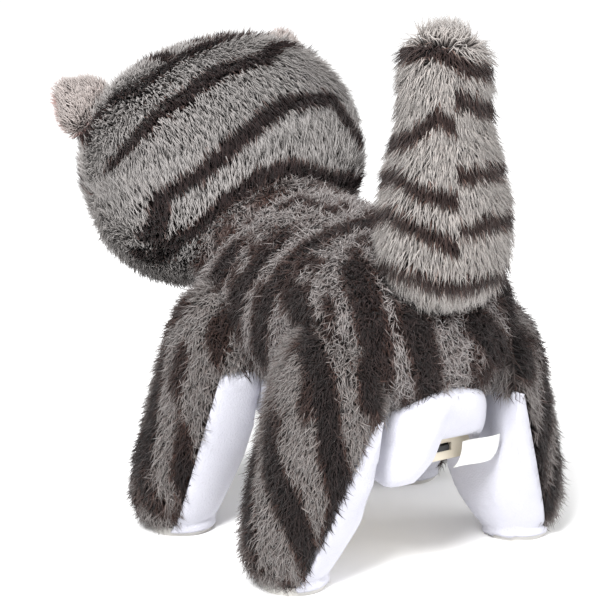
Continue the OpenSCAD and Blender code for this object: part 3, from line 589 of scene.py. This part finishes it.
rim_edge = np.stack([rim_x * (1 - 0.05 * rear), rim_y, rump_top], -1)
crown = np.stack([(0.0028 - 0.001 * rear) * np.cos(turn),
                  np.sin(turn) * (0.002 + rear * (0.0025 + 0.0075 * swell)),
                  -0.0038 + 0.001 * window - lip_drop * swell], -1)
floor_side = np.stack([0 * turn, -0.002 * rear, 0.002 + 0 * turn], -1)
belly = ring_pad("belly_plush", (hole_edge, rim_edge), (crown, floor_side), 28)
soft_piece(belly, plush_white, "chassis", "white_plush", "belly_panel", fill=0.4)


# ---- Care label ----
# A blank strip of woven white ribbon is sewn in beside the switch at the rump seam. It
# hangs free in a shallow curl, held by its upper edge.
label_lo, label_hi = (np.array(corner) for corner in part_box("care_label"))
label_wide, label_long, label_thick, label_curl = 0.016, 0.0126, 0.00035, 0.0142
across, down = np.mgrid[0:1:17j, 0:1:15j]
bend = down * label_long / label_curl
ribbon = np.stack([label_lo[0] + label_wide * across,
                   label_hi[1] - label_curl * (1 - np.cos(bend)) + 0.0006 * np.sin(6 * across),
                   label_hi[2] - label_curl * np.sin(bend)], -1)
turned = np.stack([0 * bend, np.cos(bend), np.sin(bend) * -1.0], -1)
sides = np.stack([ribbon - turned * label_thick / 2, ribbon + turned * label_thick / 2])
index = np.arange(sides[..., 0].size).reshape(sides.shape[:3])
faces = [np.stack([k[:-1, :-1], k[1:, :-1], k[1:, 1:], k[:-1, 1:]][::way], -1).reshape(-1, 4)
         for k, way in ((index[0], 1), (index[1], -1))]
rim = np.concatenate([index[:, :, 0].T, index[:, -1, 1:].T, index[:, -2::-1, -1].T,
                      index[:, 0, -2:0:-1].T])
faces.append(np.stack([rim[:, 1], np.roll(rim[:, 1], -1), np.roll(rim[:, 0], -1), rim[:, 0]], -1))
label = put_mesh("care_label_ribbon", sides.reshape(-1, 3), np.concatenate(faces))
ribbon_finish, start, place = new_finish("label_ribbon")
weave = place.node("ShaderNodeTexWave", {"Vector": place, "Scale": 700.0, "Distortion": 0.4},
                   bands_direction="Z")
warp = place.node("ShaderNodeTexWave", {"Vector": place, "Scale": 900.0, "Distortion": 0.4},
                  bands_direction="X")
threads = weave * 0.5 + warp * 0.5
shaded(start, {"Base Color": mixed(threads, paint(226, 226, 222), paint(246, 246, 243)),
               "Roughness": 0.5 + weave * 0.15, "Normal": grain(weave + warp, 0.5, 0.0001)})
soft_piece(label, ribbon_finish, "chassis", "label_ribbon", "care_label")


# ---- Legs ----
# Each leg is a tapering stuffed tube round its lever: striped pile outside and behind,
# a flat facing of smooth white plush inside, and a round furry foot over the sole.
leg_finish = fur_finish("leg_pile", paint(72, 58, 55), paint(148, 137, 133),
                        paint(242, 238, 236),
                        paint(26, 16, 16), paint(78, 62, 60), paint(92, 64, 55), 0.50)
lining_top, sole_top = 0.063, 0.0032
facing_turn = {"front": 0.6, "rear": 0.1}
feet = {"front": np.array([0.050, -0.007, 0.0155]), "rear": np.array([0.048, 0.065, 0.0155])}
leg_bands = {
    "front": [[(46, -22, 92), (56, -18, 74), (62, -12, 52), (64, -8, 30), (60, -8, 8)],
              [(44, 12, 90), (58, 10, 72), (62, 8, 50), (60, 8, 30), (52, 10, 12)],
              [(64, -22, 40), (67, -12, 24), (62, -2, 12)]],
    "rear": [[(48, 83, 75), (47, 88, 51), (42, 88, 36), (44, 84, 16)],
             [(46, 50, 96), (58, 56, 76), (61, 64, 54), (59, 72, 40), (56, 80, 26), (50, 82, 9)],
             [(58, 44, 66), (62, 52, 44), (64, 60, 24), (60, 66, 10)]],
}


def leg_form(points_unit, end, shrink):
    """The leg bag: a big ball at the hip, a middle and a small ball at the foot."""
    hip, foot = hips[end] - [0.003, 0, 0], feet[end] + [0, -0.002, 0]
    top = hip_reach[end]
    knee = 0.45 * hip + 0.55 * foot + [0.001, 0, 0]
    return bag(points_unit, [hip, knee, foot],
               np.array([top, 0.0165 if end == "front" else 0.0195, 0.0148]) - shrink, 0.003)


def leg_comb(points, up):
    """Pile is brushed down the leg and a little out and back, with slow swirls."""
    slope = ripple(points, 0.03, 31)[1]
    return np.array([0.15, 0.1, -1.0]) + 0.3 * slope


unit, caps, quads = ball_grid(56, 48, 2)
for end in ("front", "rear"):
    for side, sign in (("left", 1), ("right", -1)):
        leg, flip = f"{end}_{side}", np.array([sign, 1, 1])
        lean = (feet[end] - hips[end])[0] / (feet[end] - hips[end])[2]

        def seam(points, lean=lean, end=end, sign=sign):
            """Distance outside the sewn plane between the pile and the white facing, which
            takes in the rear of a front leg."""
            level = hips[end][0] + (points[:, 2] - hips[end][2]) * lean
            turned_in = facing_turn[end] * (points[:, 1] - hips[end][1])
            sewn = np.where(points[:, 2] < lining_top, level - 0.001 + turned_in, leg_plane)
            return points[:, 0] * sign - sewn

        def leg_dark(points, end=end):
            """How dark the leg's pile is: its own bands, those that come down from the trunk,
            and faint streaks."""
            slope = ripple(points, 0.018, 33)[1]
            warped = points * flip + 0.0025 * slope
            return np.maximum(near_lines(warped, leg_bands[end] + trunk_bands[:3], 0.0048, 0.45),
                              streaks(points, 34))

        def outer(points):
            """Flattens the bag on the sewn plane, on the hip plane and over the sole."""
            deep = np.minimum(seam(points), 0)
            points = points - np.stack([deep * sign, 0 * deep, 0 * deep], -1)
            inside = points[:, 0] * sign < leg_plane
            points[:, 0] = np.where(inside, leg_plane * sign, points[:, 0])
            points[:, 2] = np.maximum(points[:, 2], sole_top)
            return points

        def leg_keep(points):
            """Pile grows outside the sewn plane, and behind the trunk on the flat inner side."""
            outside = (seam(points) > 0.0012) & (points[:, 0] * sign > leg_plane + 0.0004)
            return outside | ((points[:, 2] > lining_top) & (points[:, 1] > 0.077))

        cover = put_mesh(f"{leg}_cover_plush", leg_form(unit, end, 0.001) * flip, caps,
                         quads if sign > 0 else quads[:, ::-1])
        reshape(cover, outer)
        smooth = cover.modifiers.new("smooth", "SUBSURF")
        smooth.levels = smooth.render_levels = 1
        apply_all(cover)
        stain(cover, leg_dark)
        soft_piece(cover, leg_finish, f"{leg}_leg", "striped_fur", f"{leg}_cover", fill=0.8)
        fur = pile(f"{leg}_pile", cover, 13500, 40 + len(leg) + (sign > 0), 0.0085,
                   lambda p, n: leg_comb(p * flip, n) * flip, leg_dark, keep=leg_keep,
                   width=0.00046, stray=0.42, tuft=0.9, tuft_pitch=0.005, kink=0.25)
        soft_piece(fur, leg_finish, f"{leg}_leg", "striped_fur")
        facing = leg_form(unit, end, -0.0028) * flip
        proud = np.maximum(seam(facing) + 0.0003, 0)
        facing = facing - np.stack([proud * sign, 0 * proud, 0 * proud], -1)
        facing[:, 0] = np.where(facing[:, 0] * sign < leg_plane, leg_plane * sign, facing[:, 0])
        arm = facing[:, :2] - (feet[end] * flip)[:2]
        far = np.linalg.norm(arm, axis=1)
        skirt = (facing[:, 2] < 0.0045) & (far > 0.0088)
        widen = np.where(skirt, np.maximum(0.0123 / np.maximum(far, 1e-6) - 1, 0), 0)
        facing[:, :2] += widen[:, None] * arm
        lowest = np.where(skirt, 0.0006, sole_top)
        facing[:, 2] = np.clip(facing[:, 2], lowest, lining_top - 0.0002)
        lining = put_mesh(f"{leg}_lining_plush", facing, caps,
                          quads if sign > 0 else quads[:, ::-1])
        soft_piece(lining, plush_white, f"{leg}_leg", "white_plush", f"{leg}_lining", fill=0.8)


# ---- Tail ----
# The tail is a stuffed sleeve of long light pile over a rod. Its one seam runs up the
# side, where the printed dark rings of the two edges do not quite meet.
tail_finish = fur_finish("tail_pile", paint(150, 141, 136), paint(200, 192, 187),
                         paint(238, 233, 229),
                         paint(50, 34, 32), paint(88, 68, 63), paint(126, 98, 88), 0.60)
tail_height = np.array([101, 107, 119.5, 136.7, 149.3, 163.4, 177.6, 187, 190.5]) / 1000
tail_radius = np.array([0.5, 14, 18, 16.5, 14, 10.5, 11, 9.5, 0.4]) / 1000
unit, caps, quads = ball_grid(60, 48, 2)
level = np.linspace(1, 0, 62)[:, None]
level = (0.1015 + (0.190 - 0.1015) * (0.5 - 0.5 * np.cos(math.pi * level))).repeat(48, 1)
level = np.concatenate([level[:1, 0], level[1:-1].ravel(), level[-1:, 0]])
girth = np.interp(level, tail_height, tail_radius)
girth[[0, -1]] = 0
flat = unit.copy()
flat[:, 2] = 0
flat = unit_rows(flat)
tail_form = tail_place * [1, 1, 0] + girth[:, None] * flat + level[:, None] * [0, 0, 1]
tail = put_mesh("tail_cover_plush", tail_form, caps, quads)
stuff(tail, 0.002, 0.004)

tail_rings = [
    [[(-90, 178), (-60, 182), (-1, 185), (37, 188), (70, 184)],
     [(-90, 152), (-40, 153), (16, 158), (47, 166), (70, 162)],
     [(-90, 140), (-40, 140), (-3, 145), (29, 141), (70, 139)],
     [(-90, 127), (-40, 128), (-2, 132), (31, 128), (70, 122)],
     [(-90, 109), (-1, 111), (25, 111), (70, 107)]],
    [[(70, 183), (142, 177), (200, 180), (270, 178)],
     [(70, 171), (121, 166), (200, 158), (270, 152)],
     [(70, 146), (123, 146), (200, 142), (270, 140)],
     [(70, 129), (100, 129), (200, 126), (270, 127)],
     [(70, 108), (200, 108), (270, 109)]]]


def tail_dark(points):
    """Rings are drawn on the sleeve unrolled: across is the angle round it times its radius."""
    wave = ripple(points, 0.016, 51)[0]
    arm = points - tail_place
    angle = (np.degrees(np.arctan2(arm[:, 1], arm[:, 0])) + 90) % 360 - 90
    flat = np.stack([np.radians(angle) * 0.016, points[:, 2] + 0.0012 * wave, 0 * angle], -1)
    halves = [near_lines(flat, [[(math.radians(a) * 16, z, 0) for a, z in ring] for ring in half],
                         0.0026, 0.45) for half in tail_rings]
    return np.where(angle < 68, halves[0], halves[1])


def tail_comb(points, up):
    """Pile hangs down the sleeve and stands up at its tip."""
    slope = ripple(points, 0.03, 52)[1]
    top = np.clip((points[:, 2:3] - 0.186) / 0.003, 0, 1)
    return np.hstack([0 * top, 0 * top, -1 + 2.6 * top]) + 0.3 * slope


stain(tail, tail_dark)
soft_piece(tail, tail_finish, "tail", "tail_fur", "tail_cover", "tail_wadding", fill=0.8)
for name, seed, above in (("tail_pile_upper", 53, True), ("tail_pile_lower", 54, False)):
    fur = pile(name, tail, 11500, seed, 0.0105, tail_comb, tail_dark,
               keep=lambda p: (p[:, 2] >= 0.143) == above, width=0.0005, stray=0.22, tuft=0.5)
    soft_piece(fur, tail_finish, "tail", "tail_fur")


# ---- Head ----
# The head is a wide barrel of light pile, sewn from a face piece and a back piece and
# stuffed round a plastic shell. Stripes run across the crown from ear to ear.
def turned_about(axis, degrees):
    """The matrix that turns vectors about an axis: Rodrigues' rule."""
    x, y, z = np.array(axis, float) / np.linalg.norm(axis)
    angle = math.radians(degrees)
    cross = np.array([[0, -z, y], [z, 0, -x], [-y, x, 0]])
    return np.eye(3) + math.sin(angle) * cross + (1 - math.cos(angle)) * cross @ cross


head_turned = turned_about((0, 0.8, -0.6), 14) @ turned_about((1, 0, 0), 20)


def on_head(points):
    """Points of the level head at the origin, moved to where the turned head is."""
    return np.asarray(points) @ head_turned.T + neck_place


def in_head(points):
    """The other way round: places on the turned head as the level head sees them."""
    return (points - neck_place) @ head_turned


head_finish = fur_finish("head_pile", paint(156, 149, 146), paint(202, 196, 193),
                         paint(236, 232, 230),
                         paint(40, 27, 27), paint(74, 54, 52), paint(118, 90, 82), 0.47)
unit, caps, quads = ball_grid(64, 80, 0)
squared = np.sign(unit) * np.abs(unit) ** 0.86
head_form = squared * np.array([0.0485, 0.0405, 0.0408])
head_form[:, 2] -= 0.0015
head = put_mesh("head_cover_plush", on_head(head_form), caps, quads)
stuff(head, 0.003)

crown_stripes = [
    [(47, 96), (45, 102), (30, 127), (7, 121), (-14, 112), (-34, 100)],
    [(47, 158), (31, 150), (18, 148), (3, 142), (-16, 141), (-40, 117), (-48, 108)],
    [(44, 225), (38, 193), (22, 185), (5, 176), (-14, 168), (-36, 169), (-48, 207)],
    [(46, 250), (36, 222), (18, 202), (2, 195), (-10, 196), (-30, 212), (-45, 231)],
    [(30, 236), (14, 219), (2, 212), (-13, 217), (-30, 232), (-40, 245)],
    [(14, 62), (16, 92), (13, 112)], [(-14, 62), (-16, 84), (-13, 100)],
    [(0, 60), (0, 84), (-4, 104)],
    [(38, 40), (44, 62), (46, 84)], [(-38, 40), (-44, 62), (-46, 84)],
    [(44, 6), (49, 20), (50, 40)], [(-44, 6), (-49, 20), (-50, 40)],
]
nape_gap = [(34, 241), (30, 226), (20, 212)]
crown_radius = 42.0


def head_dark(points):
    """Stripes are drawn on the barrel unrolled: across is its length, and up is the angle
    from the nose over the crown times the radius."""
    slope = ripple(points, 0.02, 61)[1]
    local = in_head(points + 0.0012 * slope)
    angle = np.degrees(np.arctan2(local[:, 2], -local[:, 1])) % 360
    flat = np.stack([local[:, 0], np.radians(angle) * crown_radius / 1000, 0 * angle], -1)
    lines = [[(x, math.radians(a) * crown_radius, 0) for x, a in line]
             for line in crown_stripes + [nape_gap]]
    crease = near_lines(flat, lines[-1:], 0.003)
    lines = lines[:-1]
    return np.clip(near_lines(flat, lines, 0.0030, 0.4) - crease, 0, 1)


def head_comb(points, up):
    """Pile is brushed from the muzzle over the crown to the nape, and outwards round the face."""
    slope = ripple(points, 0.035, 62)[1]
    local = in_head(points)
    angle = np.arctan2(local[:, 2:3], -local[:, 1:2])
    over = np.hstack([0 * angle, np.sin(angle), np.cos(angle)])
    under = np.clip((-angle - 0.2) / 0.6, 0, 1)
    over = over * (1 - 2 * under)
    away = unit_rows(local - [0, -0.05, -0.012])
    face = np.clip((-local[:, 1:2] - 0.012) / 0.02, 0, 1)
    return ((1 - face) * over + face * away) @ head_turned.T + 0.3 * slope


stain(head, head_dark)
soft_piece(head, head_finish, "head", "head_fur", "head_cover", "head_wadding", fill=0.8)


def head_keep(points):
    """No pile under the muzzle, eyes and nose."""
    local = in_head(points)
    grown = np.linalg.norm((local - [0, -0.0345, -0.0205]) / [0.0165, 0.03, 0.0095], axis=1) > 1
    for side in (-1, 1):
        grown &= np.hypot(local[:, 0] - side * 0.020, local[:, 2] - 0.007) > 0.0072
    return grown | (local[:, 1] > 0)


for name, seed, test in (("head_pile_left", 63, lambda q: (q[:, 0] >= 0.016)),
                         ("head_pile_middle", 64, lambda q: np.abs(q[:, 0]) < 0.016),
                         ("head_pile_right", 65, lambda q: q[:, 0] <= -0.016)):
    fur = pile(name, head, 15500, seed, 0.0092, head_comb, head_dark,
               keep=lambda p: head_keep(p) & test(in_head(p)), stray=0.16, tuft=0.32)
    soft_piece(fur, head_finish, "head", "head_fur")


# ---- Neck ruff ----
# A short sleeve of the trunk's pile is sewn to the nape and covers the gap between the
# head and the trunk while the head turns.
axis = np.array([0, 0.8, -0.6])
sideways, upward = np.array([1.0, 0, 0]), np.array([0, 0.6, 0.8])
turn = np.linspace(0, 2 * math.pi, 72, endpoint=False)[:, None]
around = np.cos(turn) * sideways + np.sin(turn) * upward
ruff_in, ruff_out = (neck_place + axis * far + around * wide
                     for far, wide in ((0.038, 0.024), (0.0475, 0.0255)))
ruff = ring_pad("neck_ruff", (ruff_in, ruff_out), (around * 0.0028, -around * 0.0015), 16)


def ruff_dark(points):
    """The ruff is mottled between plain and striped pile."""
    wave = ripple(points, 0.02, 71)[0]
    return np.clip(0.35 + 0.5 * wave, 0, 1)


stain(ruff, ruff_dark)
soft_piece(ruff, trunk_finish, "head", "striped_fur", "neck_cover", fill=0.5)
fur = pile("neck_ruff_pile", ruff, 5000, 72, 0.007, lambda p, n: np.array([0, 0.5, -0.6]) + 0 * p,
           ruff_dark, keep=lambda p: (p - neck_place) @ axis > 0.036, stray=0.4)
soft_piece(fur, trunk_finish, "head", "striped_fur")


# ---- Ears ----
# Each ear is a small rounded triangle of two plush pieces, pile behind and pinkish plush
# inside, turned and sewn into the crown seam.
ear_finish = fur_finish("ear_pile", paint(130, 118, 114), paint(172, 162, 158),
                        paint(206, 198, 194),
                        paint(46, 33, 33), paint(78, 60, 57), paint(196, 160, 154), 0.85)
unit, caps, quads = ball_grid(30, 36, 2)
for side, sign in (("left", 1), ("right", -1)):
    flip = np.array([sign, 1, 1])
    turned = turned_about((0, 0, 1), 20) @ turned_about((0, 1, 0), 35)
    seat = np.array([0.043, -0.012, 0.035]) if sign > 0 else np.array([0.041, -0.018, 0.030])
    ear = bag(unit, np.array([(-6.5, 0, -3), (6.5, 0, -3), (0, 0, 5.0)]) / 1000,
              np.array([3.6, 3.6, 2.6]) / 1000, 0.0012)
    ear[:, 1] += 18.0 * (ear[:, 0] ** 2) * (ear[:, 1] > -0.5)
    placed = on_head((ear @ turned.T + seat) * flip)
    bud = put_mesh(f"{side}_ear_plush", placed, caps, quads if sign > 0 else quads[:, ::-1])

    def ear_dark(points, turned=turned, seat=seat, flip=flip):
        """The inside of the ear takes the warm fringe shade and its foot the stripe."""
        local = (in_head(points) * flip - seat) @ turned
        inside = np.clip((-local[:, 1] - 0.0005) / 0.002, 0, 1) * 0.42
        return np.maximum(inside, np.clip((-0.004 - local[:, 2]) / 0.003, 0, 1) * 0.9)

    stain(bud, ear_dark)
    soft_piece(bud, ear_finish, "head", "head_fur", f"{side}_ear", fill=0.5)
    fur = pile(f"{side}_ear_pile", bud, 4000, 80 + sign, 0.006,
               lambda p, n: (np.array([0, 0.1, 1.0]) @ turned.T * flip) @ head_turned.T + 0 * p,
               ear_dark, lean=(20, 55), stray=0.3, width=0.00042)
    soft_piece(fur, ear_finish, "head", "head_fur")


# ---- Face ----
# Two domed eyes and a moulded nose are pressed through the cover, and a small padded
# muzzle of white plush with a creased middle is sewn on.
muzzle_turned = head_turned @ turned_about((1, 0, 0), 17)
unit, caps, quads = ball_grid(36, 48, 0)
cheeks = bag(unit, np.array([(-8.5, 0, -1), (8.5, 0, -1), (0, 0, 1.5), (0, 1, -6)]) / 1000,
             np.array([7.6, 7.6, 7.5, 5.5]) / 1000, 0.0016)
crease = np.exp(-(cheeks[:, 0] / 0.0016) ** 2)
cheeks[:, 1] += 0.0016 * crease * (cheeks[:, 1] < 0) * (cheeks[:, 2] < 0.003)
muzzle_seat = np.array([0, -0.0400, -0.0110])
muzzle = put_mesh("muzzle_plush", (cheeks + muzzle_seat) @ muzzle_turned.T + neck_place,
                  caps, quads)
soft_piece(muzzle, plush_white, "head", "white_plush", "muzzle", fill=0.7)

eye_finish, start, place = new_finish("eye_dome")
fleck = speckle(place, 900, 4.0)
shaded(start, {"Base Color": mixed(fleck, paint(20, 14, 12), paint(52, 36, 26)),
               "Roughness": 0.12 + fleck * 0.04, "Coat Weight": 0.3, "Coat Roughness": 0.03})
dress(eye_finish, "eyes")
dress(moulding("nose_moulding", paint(196, 128, 128), paint(176, 108, 110), 0.35, 1600, coat=0.4),
      "nose")


# ---- Floor, light and camera ----
# A pale sheet lies under the cat. The light is soft and white from all round, with one
# large lamp high behind the left side and a weaker one opposite.
floor_ring = np.linspace(0, 2 * math.pi, 64, endpoint=False)
floor_points = np.vstack([[0, 0, 0], np.stack([6 * np.cos(floor_ring), 6 * np.sin(floor_ring),
                                               0 * floor_ring], -1)])
fan = np.stack([np.zeros(64, int), np.arange(1, 65), np.arange(1, 65) % 64 + 1], -1)
ground = put_mesh("floor", floor_points, fan)
floor_finish, start, place = new_finish("pale_floor")
faint = mixed(speckle(place, 3.0), paint(250, 250, 250), paint(253, 253, 253))
shaded(start, {"Base Color": faint, "Roughness": 0.9})
ground.data.materials.append(floor_finish)

world = bpy.data.worlds.new("studio")
world.use_nodes = True
world.node_tree.nodes["Background"].inputs["Color"].default_value = (1, 1, 1, 1)
world.node_tree.nodes["Background"].inputs["Strength"].default_value = 0.75
bpy.context.scene.world = world


def lamp(name, place, aim, size, power):
    """A square soft lamp that faces a point."""
    light = bpy.data.lights.new(name, "AREA")
    light.size, light.energy = size, power
    made = bpy.data.objects.new(name, light)
    bpy.context.scene.collection.objects.link(made)
    made.location = place
    reach = np.array(aim, float) - place
    made.rotation_euler = (math.atan2(math.hypot(reach[0], reach[1]), -reach[2]), 0,
                           math.atan2(reach[1], reach[0]) - math.pi / 2)
    return made


lamp("key", (0.9, 0.7, 1.3), (0, 0, 0.08), 0.5, 42)
lamp("fill", (-1.2, 0.9, 0.9), (0, 0, 0.08), 1.0, 12)

aim = np.array([0, 0.031, 0.085])
azimuth, elevation, far = math.radians(146), math.radians(16), 1.05
camera = bpy.data.cameras.new("camera")
camera.sensor_width, camera.lens = 36, 177
camera.shift_x, camera.shift_y = -0.09, 0.008
eye = bpy.data.objects.new("camera", camera)
bpy.context.scene.collection.objects.link(eye)
eye.location = aim + far * np.array([math.sin(azimuth) * math.cos(elevation),
                                     -math.cos(azimuth) * math.cos(elevation),
                                     math.sin(elevation)])
eye.rotation_euler = (math.pi / 2 - elevation, 0, azimuth)
bpy.context.scene.camera = eye
bpy.context.scene.view_settings.view_transform = "Standard"
